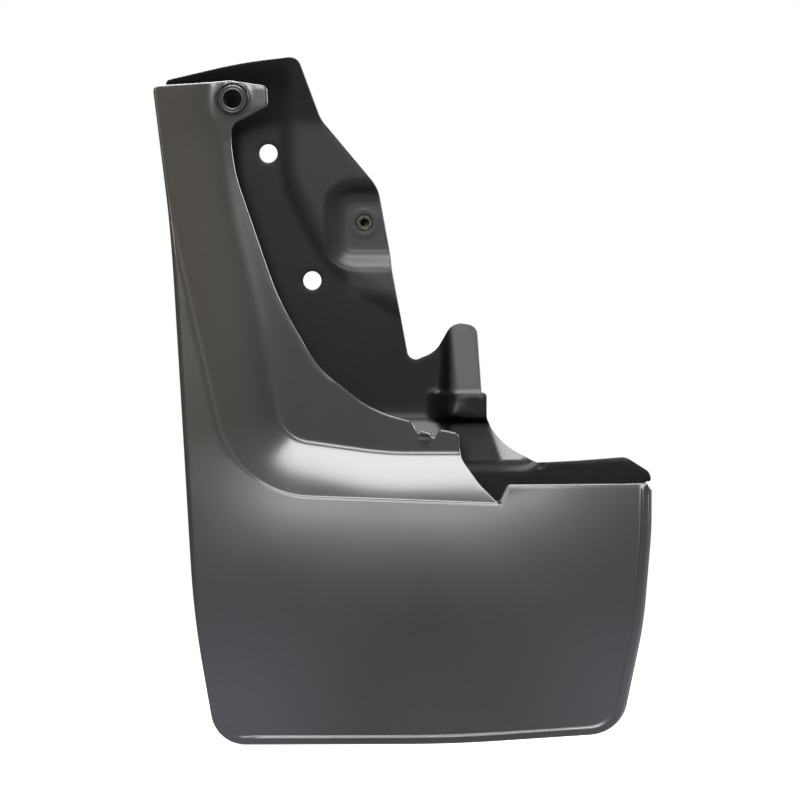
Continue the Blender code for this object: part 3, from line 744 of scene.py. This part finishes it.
def set_range(node, numbers):
    """Sets a Map Range node's two input limits and two output limits."""
    for socket, number in zip(("From Min", "From Max", "To Min", "To Max"), numbers):
        node.inputs[socket].default_value = number


class Nodes:
    """A material's node tree, with short calls for the nodes used here."""

    def __init__(self, name):
        self.material = bpy.data.materials.new(name)
        self.material.use_nodes = True
        self.tree = self.material.node_tree
        self.shader = self.tree.nodes["Principled BSDF"]
        self.place = self.tree.nodes.new("ShaderNodeTexCoord").outputs["Object"]

    def link(self, source, socket):
        self.tree.links.new(source, socket)

    def noise(self, scale, detail=3.0, roughness=0.5, stretch=None):
        node = self.tree.nodes.new("ShaderNodeTexNoise")
        node.inputs["Scale"].default_value = scale
        node.inputs["Detail"].default_value = detail
        node.inputs["Roughness"].default_value = roughness
        self.link(self.stretched(stretch) if stretch else self.place, node.inputs["Vector"])
        return node.outputs["Fac"]

    def stretched(self, stretch):
        node = self.tree.nodes.new("ShaderNodeMapping")
        node.inputs["Rotation"].default_value = stretch[0]
        node.inputs["Scale"].default_value = stretch[1]
        self.link(self.place, node.inputs["Vector"])
        return node.outputs["Vector"]

    def axis(self, name):
        node = self.tree.nodes.new("ShaderNodeSeparateXYZ")
        self.link(self.place, node.inputs[0])
        return node.outputs[name]

    def spread(self, value, low, high, to_low, to_high):
        node = self.tree.nodes.new("ShaderNodeMapRange")
        node.interpolation_type = "SMOOTHSTEP"
        set_range(node, (low, high, to_low, to_high))
        self.link(value, node.inputs["Value"])
        return node.outputs["Result"]

    def painted(self, layer):
        node = self.tree.nodes.new("ShaderNodeVertexColor")
        node.layer_name = layer
        return node.outputs["Color"]

    def maths(self, operation, *values):
        node = self.tree.nodes.new("ShaderNodeMath")
        node.operation = operation
        for socket, value in zip(node.inputs, values):
            if isinstance(value, float):
                socket.default_value = value
            else:
                self.link(value, socket)
        return node.outputs[0]

    def mixed(self, share, a, b):
        node = self.tree.nodes.new("ShaderNodeMix")
        node.data_type = "RGBA"
        self.link(share, node.inputs[0])
        for socket, colour in ((node.inputs[6], a), (node.inputs[7], b)):
            if isinstance(colour, tuple):
                socket.default_value = (*colour, 1.0)
            else:
                self.link(colour, socket)
        return node.outputs[2]

    def bump(self, height, strength, distance):
        node = self.tree.nodes.new("ShaderNodeBump")
        node.inputs["Strength"].default_value = strength
        node.inputs["Distance"].default_value = distance
        self.link(height, node.inputs["Height"])
        return node.outputs["Normal"]


def plastic(name, colours, rough, grain, specular=0.5):
    """Moulded plastic: a fine grain, slow colour change, smudges and faint hairline rubs."""
    grain_scale, grain_depth = grain
    n = Nodes(name)
    slow = n.spread(n.noise(9.0, 1.0), 0.1, 0.9, 0.0, 1.0)
    n.colour = n.mixed(slow, *colours)
    n.link(n.colour, n.shader.inputs["Base Color"])
    smudge = n.spread(n.noise(16.0, 1.0), 0.1, 0.9, rough - 0.02, rough + 0.03)
    rubs = n.noise(300.0, 1.0, 0.5, ((0.0, 0.6, 0.0), (1.0, 1.0, 0.04)))
    n.roughness = n.maths("ADD", smudge, n.spread(rubs, 0.2, 0.9, 0.0, 0.01))
    n.link(n.roughness, n.shader.inputs["Roughness"])
    n.link(n.bump(n.noise(grain_scale, 2.0, 0.6), 1.0, grain_depth), n.shader.inputs["Normal"])
    n.shader.inputs["Specular IOR Level"].default_value = specular
    return n


def fascia_plastic():
    """The fascia's charcoal plastic, with painted reflections: warmer up the wing and cooler in the panel's
    bottom corners.
    """
    n = plastic("fascia_plastic", CHARCOAL, 0.24, FINE_GRAIN)
    x, z = n.axis("X"), n.axis("Z")
    # painted warm reflection: the wing's colour is warmed where it would reflect warm surroundings
    warm_reflection = n.maths("MULTIPLY", n.spread(x, -0.06, 0.0, 1.0, 0.0), n.spread(z, -0.24, -0.10, 0.0, 1.0))
    off_middle = n.maths("ABSOLUTE", n.maths("SUBTRACT", x, 0.09))
    # painted cool reflection: the panel's bottom corners are tinted blue as if reflecting a bluish surround
    low_down = n.spread(z, -0.30, -0.18, 1.0, 0.0)
    cool_reflection = n.maths("MULTIPLY", low_down, n.spread(off_middle, 0.03, 0.12, 0.15, 1.0))
    colour = n.mixed(warm_reflection, n.colour, PAINTED_WARM_REFLECTION)
    n.link(n.mixed(cool_reflection, colour, PAINTED_COOL_REFLECTION), n.shader.inputs["Base Color"])
    return n.material


def plate_plastic():
    """The plate's black plastic: greyed by a painted sheen where it stands off the arch, and by a light bloom
    on the wheel side.
    """
    n = plastic("plate_plastic", BLACK, 0.34, COARSE_GRAIN, specular=0.17)
    rougher = n.spread(n.painted("matt"), 0.0, 1.0, 0.0, 0.55)
    n.link(n.maths("ADD", n.roughness, rougher), n.shader.inputs["Roughness"])
    # the bloom layer mixes in grey for the painted sheen and for the wheel side's bloom
    n.link(n.mixed(n.painted("bloom"), n.colour, BLOOM_AND_PAINTED_SHEEN_GREY), n.shader.inputs["Base Color"])
    return n.material


def metal(name, dark, light, rough, brushed):
    """Steel, plated or bare: a mottled colour and fine brushing marks."""
    n = Nodes(name)
    patches = n.spread(n.noise(420.0, 4.0, 0.65), 0.35, 0.68, 0.0, 1.0)
    n.link(n.mixed(patches, dark, light), n.shader.inputs["Base Color"])
    n.shader.inputs["Metallic"].default_value = 1.0
    streaks = n.noise(1500.0, 3.0, 0.6, ((0.3, 0.2, 0.4), brushed))
    n.link(n.spread(streaks, 0.3, 0.7, rough - 0.08, rough + 0.12), n.shader.inputs["Roughness"])
    n.link(n.bump(streaks, 0.6, 0.00002), n.shader.inputs["Normal"])
    return n.material


def rubber_material(name):
    n = Nodes(name)
    bloom = n.spread(n.noise(60.0, 4.0, 0.6), 0.35, 0.7, 0.0, 1.0)
    n.link(n.mixed(bloom, (0.008, 0.008, 0.008), (0.022, 0.021, 0.02)), n.shader.inputs["Base Color"])
    n.link(n.spread(bloom, 0.0, 1.0, 0.62, 0.85), n.shader.inputs["Roughness"])
    n.link(n.bump(n.noise(1800.0, 2.0), 1.0, 0.00004), n.shader.inputs["Normal"])
    return n.material


# --- Parts ----------------------------------------------------------------------------------


def placed(piece, material, node):
    piece.data.materials.append(material)
    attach(piece, "root")
    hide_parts(node)


def fascia(material):
    free = rounded((WALLED_EDGE[-1], *FREE_EDGE, WALLED_EDGE[0]), 2.0)[1:-1]
    outline = np.vstack((WALLED_PATH, free))
    wall = np.zeros(len(outline))
    wall[: len(WALLED_PATH)] = 1.0
    end = plate_level(outline[:, 1]) + PLATE_WALL
    full = eased(30.0, -60.0, outline[:, 1])
    radius = np.where(wall > 0.5, EDGE_ROUND + (RIM_ROUND - EDGE_ROUND) * full, EDGE_ROUND)
    for _ in range(2):
        radius = (np.roll(radius, 1) + 2 * radius + np.roll(radius, -1)) / 4
    rims = [rim(outline, fascia_face, FASCIA_WALL, radius, end, wall)]
    hole = circle(BUSH_AT, BUSH_BARREL_R, 72)[::-1]
    rims.append(rim(hole, fascia_face, FASCIA_WALL, 0.4))
    posts = []
    for at in SCREWS_AT:
        top = float(plate_face(np.array([at]))[0]) - TOUCH_GAP
        bottom = max(top - PILOT_DEPTH, float(fascia_back(np.array([at]))[0]) + 1.0)
        loops = []
        for grow, lift in ((0.35, 0.0), (0.1, 0.2), (0.0, 0.5)):
            foot = circle(at, POST_R + grow, POST_SIDES)[::-1]
            loops.append(np.column_stack((foot, fascia_back(foot) + lift)))
        mouth = ((POST_R, top - 0.4), (POST_R - 0.4, top), (PILOT_R + 0.3, top), (PILOT_R, top - 0.3))
        for r, y in (*mouth, (PILOT_R, bottom)):
            loops.append(np.column_stack((circle(at, r, POST_SIDES)[::-1], np.full(POST_SIDES, y))))
        posts.append(loops)
    features = (
        *offsets(rounded(CREASE[:3], 1.2, 2.0), (-1.3, -0.75, -0.3, 0.15, 0.6, 1.1, 1.7), 0.3),
        *offsets(SHOULDER_PATH, (-2.7, -1.8, -0.9, 0.0, 0.9, 1.8, 2.7), 0.4),
        *offsets(WALLED_PATH, (3.1, 3.5, 4.0, 4.4, 4.8, 5.3, 6.1), 0.3),
        *((circle(BUSH_AT, r, 60), 0.35) for r in (8.3, 8.7, 9.1, 9.5, 9.9, 10.3, 10.9)),
    )
    piece = moulding("fascia_moulding", rims, fascia_face, fascia_back, features, 2.4, posts)
    placed(piece, material, "outer_fascia")


def plate(material):
    walled = rounded(WALLED_EDGE, 3.0)
    hidden = walled + mitres(walled, closed=False) * (FASCIA_WALL + FIT_GAP)
    outline = np.vstack((hidden[:-1], rounded(PLATE_EDGE, 1.6)))
    rims = [rim(outline, plate_face, PLATE_WALL, 0.6)]
    for at, radius in (*((a, LINER_HOLE_R) for a in LINER_HOLES), (POCKET_NUT_AT, POCKET_HOLE_R)):
        rims.append(rim(circle(at, radius, 64)[::-1], plate_face, PLATE_WALL, 0.5))
    for at in SCREWS_AT:
        rims.append(rim(circle(at, SCREW_HOLE_R, 32)[::-1], plate_face, PLATE_WALL, 0.3))
    along = np.arange(NOTCH[0], SHELF_END + 4.0, 1.2)
    drops = np.arange(-1.4, SHELF_DROP + 3.0, 0.7)
    shelf = [np.column_stack((along, shelf_edge(along) - d)) for d in drops]
    along = np.arange(LEDGE_FADE[0], FINGER_SIDE, 1.2)
    heights = [
        level + d
        for level, low, high in ((LEDGE[0], -2.8, 0.9), (LEDGE[1], -0.8, 2.3))
        for d in np.arange(low, high, 0.7)
    ]
    ledge = [np.column_stack((along, np.full(len(along), z))) for z in heights]
    features = (
        *((line, 0.5) for line in (*shelf, *ledge)),
        *offsets(FLANK_PATH, (-1.6, -0.8, 0.0, 0.8, 1.6), 0.5),
        *offsets(rounded(FLANGE_LINE, 2.0), (-1.6, -0.8, 0.0, 0.8, 1.6), 0.5),
        *((circle(POCKET_NUT_AT, r, 60), 0.4) for r in (8.2, 8.8, 9.4)),
    )
    piece = moulding("plate_moulding", rims, plate_face, plate_back, features, 2.0)
    places = np.array([v.co / MM for v in piece.data.vertices])
    behind_face = places[:, 1] - plate_face(places[:, ::2])
    # the bloom layer holds both the painted sheen and the wheel side's bloom
    shares = np.maximum(plate_painted_sheen(places[:, ::2]), WHEEL_SIDE_BLOOM * eased(1.5, PLATE_WALL, behind_face))
    for layer, values in (("bloom", shares), ("matt", plate_matt(places[:, ::2]))):
        painted = piece.data.color_attributes.new(layer, "FLOAT_COLOR", "POINT")
        for entry, value in zip(painted.data, values):
            entry.color = (value, value, value, 1.0)
    placed(piece, material, "mounting_plate")


def bush(material):
    front, seat, foot = SEAT_Y - 1.9, SEAT_Y - TOUCH_GAP, SEAT_Y + 12.0
    outer, barrel = BUSH_SEAT_R - 1.2, BUSH_BARREL_R - TOUCH_GAP
    corners = (
        (BUSH_BORE_R, front + 0.2),
        (BUSH_BORE_R + 0.9, front),
        (BUSH_BORE_R + 1.2, front + 1.0),
        (BUSH_BORE_R + 1.8, front + 1.0),
        (BUSH_BORE_R + 2.1, front + 0.2),
        (outer, front + 0.8),
        (outer, seat),
        (barrel, seat),
        (barrel, foot),
        (BUSH_BORE_R, foot),
    )
    placed(spun("bush_sleeve", soft_section(corners, 0.4), BUSH_AT), material, "upper_bush")


def insert(material):
    """The closed-end threaded insert: flange and knurled body behind, threaded bore in front."""
    front = POCKET_FLOOR_Y + 0.3
    back = POCKET_FLOOR_Y + PLATE_WALL + TOUCH_GAP
    outer = POCKET_HOLE_R - TOUCH_GAP
    sides, rows = 72, []
    bore = [(INSERT_BORE_R, y) for y in np.arange(back + 6.4, front + 0.7, -0.12)]
    mouth = ((INSERT_BORE_R, front + 0.6), (INSERT_MOUTH_R, front), (outer, front), (outer, back))
    mouth = soft_section(mouth, 0.2, 3)[2:-2]
    flange = [(7.3, back), (7.6, back + 0.3), (7.6, back + 0.9), (7.3, back + 1.2), (outer + 0.2, back + 1.2)]
    body = [(outer + 0.1, y) for y in np.linspace(back + 1.8, back + 7.4, 6)] + [(outer - 0.5, back + 8.0)]
    for k in range(sides):
        angle = 2 * math.pi * k / sides
        ring = [(r - THREAD_DEPTH * abs(2 * ((y + k / sides) % 1.0) - 1.0), y) for r, y in bore]
        ring = [(r + THREAD_DEPTH, y) for r, y in ring] + [*mouth, (outer, back), *flange]
        ring += [(r - KNURL_DEPTH * (k % 2), y) for r, y in body]
        c, s = math.cos(angle), math.sin(angle)
        rows.append([(POCKET_NUT_AT[0] + r * c, y, POCKET_NUT_AT[1] + r * s) for r, y in ring])
    placed(capped("threaded_insert", rows), material, "pocket_nut")


def screw(number, at, steel, washer_steel):
    """A cross-head self-tapping screw and its washer, put in from the wheel side."""
    seat = float(PLATE(np.array([at]))[0]) + PLATE_WALL
    hole, rim_r, top = WASHER
    corners = ((hole, seat + TOUCH_GAP), (rim_r, seat + TOUCH_GAP), (rim_r, seat + top), (hole, seat + top))
    ring = spun(f"washer_{number}", soft_section(corners, 0.35), at, 64)
    placed(ring, washer_steel, f"plate_washer_{number}")
    head = seat + top + TOUCH_GAP
    sides, rows = 96, []
    dome = [
        (r, head + 0.9 + 2.3 * math.sqrt(max(0.0, 1 - (r / HEAD_R) ** 2)))
        for r in np.linspace(0.15, HEAD_R - 0.02, 26)
    ]
    edge = [(HEAD_R, head + 0.9), (HEAD_R, head + 0.3), (4.45, head), (2.2, head)]
    steps = int((head - 0.3 - seat + SHANK_REACH) / 0.1)
    shank = [(SHANK_R, head - 0.3 - 0.1 * k) for k in range(steps)]
    tip_y = shank[-1][1]
    tip = [(SHANK_R - 1.8 * t, tip_y - 2.4 * t) for t in (0.25, 0.5, 0.75, 1.0)]
    thread, pitch = SCREW_THREAD
    turn = number * 1.1
    for k in range(sides):
        angle = 2 * math.pi * k / sides
        ring = []
        for r, y in dome:
            u, v = abs(r * math.cos(angle - turn)), abs(r * math.sin(angle - turn))
            slot = (1 - eased(0.42, 0.68, min(u, v))) * (1 - eased(2.1, 2.7, max(u, v)))
            ring.append((r, y - 1.5 * float(slot) * (1 - 0.22 * r)))
        ring += edge
        for r, y in shank:
            depth = thread * max(0.0, 1 - 3.0 * abs((y / pitch + k / sides) % 1.0 - 0.5))
            ring.append((r - 0.3 + depth, y))
        ring += [(r - 0.1, y) for r, y in tip]
        c, s = math.cos(angle), math.sin(angle)
        rows.append([(at[0] + r * c, y, at[1] + r * s) for r, y in ring])
    placed(capped(f"screw_{number}", rows), steel, f"plate_screw_{number}")


def seal(material):
    lip = rounded(LIP, 1.6)
    across = mitres(lip, closed=False)
    on_lip = (lip[:, 0] < 66.0) & (lip[:, 1] < 42.0)
    path, across = (lip + across * 6.0)[on_lip], across[on_lip]
    depth = fascia_face(path) + FASCIA_WALL + TOUCH_GAP + 0.3
    section = soft_section(((-2.5, 0.0), (2.5, 0.0), (2.5, 1.2), (1.3, 3.5), (-1.3, 3.5), (-2.5, 1.2)), 0.8)
    points = [(x, y, z) for (x, z), y in zip(path, depth)]
    placed(swept("lip_bead", points, across, section), material, "lip_seal")


def clip(material):
    left, right = np.array((78.9, -126.65)), np.array((86.6, -129.25))
    along = (right - left) / np.linalg.norm(right - left)
    up = np.array((-along[1], along[0]))
    middle = (left + right) / 2
    y = float(fascia_face(middle[None, :] - up * 3.0)[0])
    front, back = y - TOUCH_GAP, y + FASCIA_WALL + TOUCH_GAP + 0.3
    corners = (
        (-4.4, front - 0.4, 0.0),
        (1.1, front - 0.4, 0.9),
        (1.5, y + 1.2, 0.8),
        (1.1, back + 0.4, 0.6),
        (-3.5, back + 0.4, 1.2),
        (-6.4, back + 2.4, 1.4),
        (-4.0, back + 6.0, 2.0),
        (1.9, back + 8.9, 0.0),
    )
    line = rounded(corners, 0.5, 12.0)
    side = mitres(line, closed=False) * 0.33
    section = np.vstack((line + side, (line - side)[::-1]))
    ends = [middle + along * d for d in (-3.1, -2.9, 2.9, 3.1)]
    piece = swept("spring_clip", [(p[0], 0.0, p[1]) for p in ends], [up] * 4, section)
    placed(piece, material, "lip_clip")


gloss = fascia_plastic()
satin = plate_plastic()
sleeve = plastic("bush_plastic", (CHARCOAL[0], (0.032, 0.031, 0.029)), 0.3, FINE_GRAIN).material
yellow = metal("yellow_zinc", (0.03, 0.028, 0.022), (0.09, 0.083, 0.062), 0.5, ALONG_Y)
zinc = metal("zinc", (0.42, 0.42, 0.41), (0.66, 0.66, 0.65), 0.34, ALONG_Y)
washer_zinc = metal("washer_zinc", (0.40, 0.40, 0.39), (0.60, 0.60, 0.58), 0.4, ALONG_Y)
spring = metal("spring_steel", (0.06, 0.06, 0.063), (0.09, 0.09, 0.095), 0.26, ALONG_X)
fascia(gloss)
plate(satin)
bush(sleeve)
insert(yellow)
for number, at in enumerate(SCREWS_AT, 1):
    screw(number, at, zinc, washer_zinc)
seal(rubber_material("seal_rubber"))
clip(spring)


# --- Floor, light and camera ------------------------------------------------------------------


def lamp(name, at, target, size, power):
    light = bpy.data.lights.new(name, "AREA")
    light.shape = "RECTANGLE"
    light.size, light.size_y = size
    light.energy = power
    obj = bpy.data.objects.new(name, light)
    obj.location = at
    obj.rotation_euler = (Vector(target) - Vector(at)).to_track_quat("-Z", "Y").to_euler()
    obj.visible_camera = False
    bpy.context.scene.collection.objects.link(obj)


def floor():
    mesh = bpy.data.meshes.new("floor")
    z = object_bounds()[0].z - 0.0005
    mesh.from_pydata([(-9, -9, z), (9, -9, z), (9, 9, z), (-9, 9, z)], [], [(0, 1, 2, 3)])
    obj = bpy.data.objects.new("floor", mesh)
    bpy.context.scene.collection.objects.link(obj)
    n = Nodes("floor_paint")
    n.shader.inputs["Base Color"].default_value = (0.25, 0.25, 0.25, 1.0)
    n.shader.inputs["Roughness"].default_value = 0.9
    n.shader.inputs["Emission Color"].default_value = (1.0, 1.0, 1.0, 1.0)
    n.shader.inputs["Emission Strength"].default_value = 1.0
    mesh.materials.append(n.material)
    obj.visible_glossy = False
    obj.visible_diffuse = False
    obj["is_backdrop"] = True


def studio():
    """White behind the part for the camera, and a surround for its light and reflections that is
    brightest low down."""
    world = bpy.data.worlds.new("studio")
    bpy.context.scene.world = world
    world.use_nodes = True
    tree = world.node_tree
    path = tree.nodes.new("ShaderNodeLightPath")
    mix = tree.nodes.new("ShaderNodeMixShader")
    white, dim = tree.nodes["Background"], tree.nodes.new("ShaderNodeBackground")
    white.inputs["Color"].default_value = (1.0, 1.0, 1.0, 1.0)
    white.inputs["Strength"].default_value = 1.0
    dim.inputs["Color"].default_value = (0.97, 0.985, 1.0, 1.0)
    split = tree.nodes.new("ShaderNodeSeparateXYZ")
    level = tree.nodes.new("ShaderNodeMapRange")
    set_range(level, (-0.30, -0.02, 0.9, 0.15))
    tree.links.new(tree.nodes.new("ShaderNodeTexCoord").outputs["Generated"], split.inputs[0])
    tree.links.new(split.outputs["Z"], level.inputs["Value"])
    tree.links.new(level.outputs["Result"], dim.inputs["Strength"])
    tree.links.new(path.outputs["Is Camera Ray"], mix.inputs[0])
    tree.links.new(dim.outputs[0], mix.inputs[1])
    tree.links.new(white.outputs[0], mix.inputs[2])
    tree.links.new(mix.outputs[0], tree.nodes["World Output"].inputs["Surface"])


floor()
studio()
scene = bpy.context.scene
scene.view_settings.view_transform = "Standard"
LIT_POINT = (0.08, 0.0, -0.14)
lamp("overhead", (0.06, -0.42, 1.3), LIT_POINT, (1.4, 0.88), 68.0)
lamp("front_high", (-0.12, -2.0, 0.76), LIT_POINT, (0.5, 0.95), 30.0)
lamp("right", (1.9, 0.4, 0.6), (0.1, 0.0, -0.14), (0.7, 0.9), 75.0)
lamp("behind", (-0.7, 1.7, 1.5), LIT_POINT, (1.6, 1.2), 110.0)

VIEW_WIDTH = 0.47
VIEW_DISTANCE = 6.0
VIEW_AZIMUTH = math.radians(5.4)
VIEW_CENTRE = Vector((0.067, -0.02, -0.108))
camera = bpy.data.cameras.new("camera")
camera.sensor_width = 36.0
camera.lens = camera.sensor_width * VIEW_DISTANCE / VIEW_WIDTH
eye = bpy.data.objects.new("camera", camera)
towards_eye = Vector((math.sin(VIEW_AZIMUTH), -math.cos(VIEW_AZIMUTH), 0.0))
eye.location = VIEW_CENTRE + VIEW_DISTANCE * towards_eye
eye.rotation_euler = (math.pi / 2, 0.0, VIEW_AZIMUTH)
scene.collection.objects.link(eye)
scene.camera = eye
